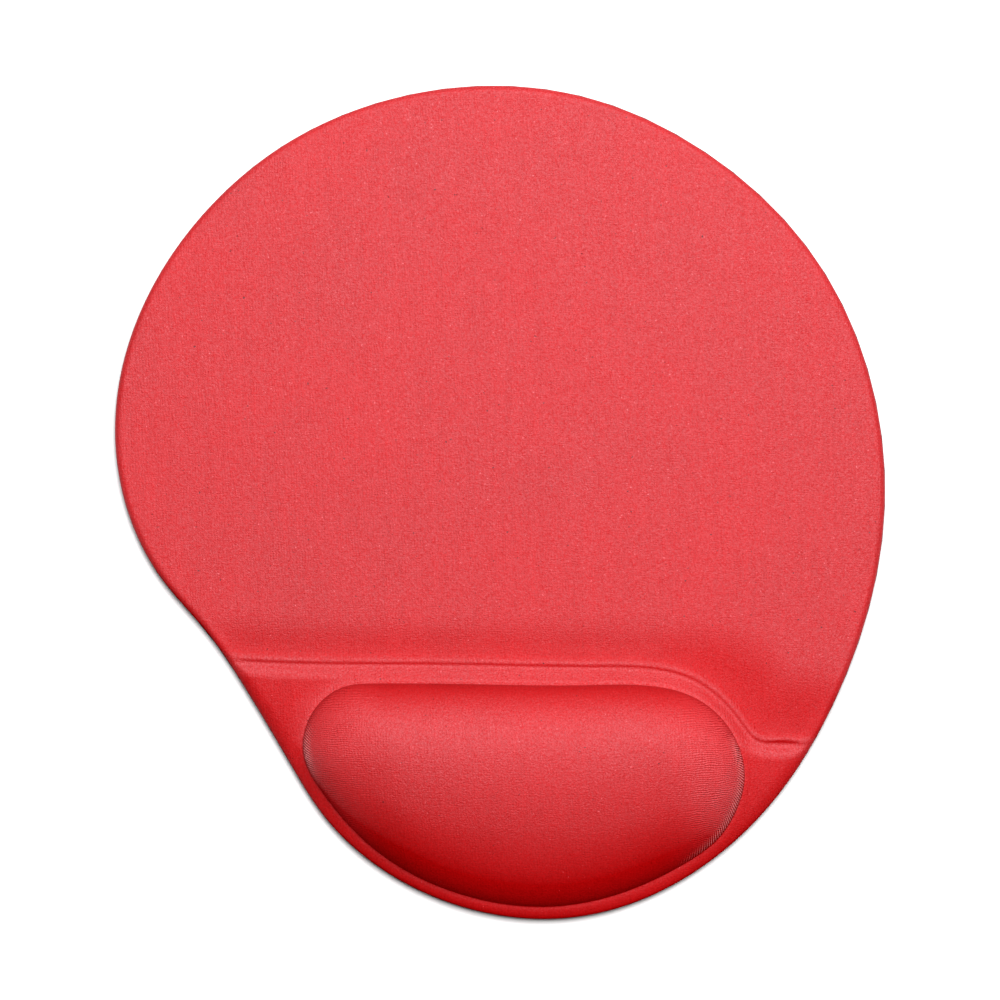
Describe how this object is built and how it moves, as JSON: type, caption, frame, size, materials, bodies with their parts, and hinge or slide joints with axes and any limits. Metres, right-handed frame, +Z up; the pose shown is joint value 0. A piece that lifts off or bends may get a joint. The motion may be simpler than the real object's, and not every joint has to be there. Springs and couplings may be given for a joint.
{
  "type": "wrist rest",
  "caption": "Flat round mouse surface with a raised gel cushion for the wrist at its front edge, under one knit cover on a non-slip base.",
  "frame": {"origin": "centre of the object's box, on its underside", "axes": "+Z up, +Y to the back away from the user, +X to the user's right"},
  "size_m": [0.231, 0.25, 0.021],
  "materials": {
    "cover": "fine stretch knit, soft sheen",
    "pad_foam": "closed-cell foam, matt",
    "wrist_foam": "closed-cell foam, matt",
    "blister_film": "clear vacuum-formed film",
    "gel": "soft gel, glossy",
    "flat_film": "flat film, satin",
    "base": "non-slip texture, matt"
  },
  "bodies": {
    "root": {"cover_cloth": "cover", "pad_foam": "pad_foam", "wrist_foam": "wrist_foam", "gel_top_film": "blister_film", "gel_core": "gel", "gel_bottom_film": "flat_film", "base_sheet": "base"}
  },
  "joints": []
}
